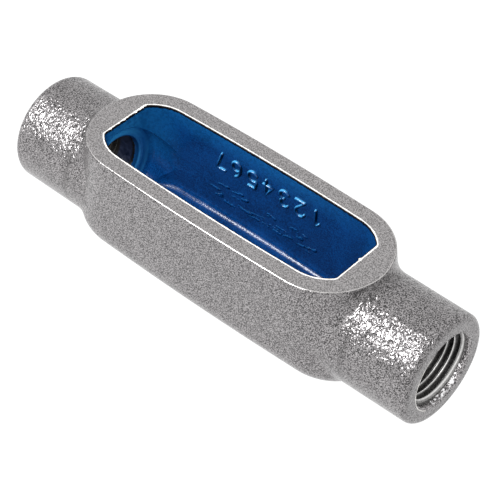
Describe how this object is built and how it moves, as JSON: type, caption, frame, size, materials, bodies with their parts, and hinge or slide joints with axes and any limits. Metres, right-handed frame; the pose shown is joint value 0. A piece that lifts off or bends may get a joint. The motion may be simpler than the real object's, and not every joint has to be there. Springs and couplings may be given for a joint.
{
  "type": "conduit body",
  "caption": "Straight-through cast iron conduit body with an open trough for pulling wires and a threaded hub at each end.",
  "frame": {"origin": "middle of the flat base, under the middle of the trough", "axes": "+X along the common axis of the two hubs, +Z out of the cover opening, +Y across the trough"},
  "size_m": [0.1344, 0.0344, 0.0339],
  "materials": {
    "grey_paint": "satin grey paint with an orange-peel surface, sprayed over the outside of the casting",
    "blue_paint": "gloss blue insulating paint, brushed or dipped inside the hollow",
    "machined_iron": "bright tapped thread with an oily sheen, bare metal"
  },
  "bodies": {
    "root": {"conduit_body": "grey_paint"}
  },
  "joints": []
}
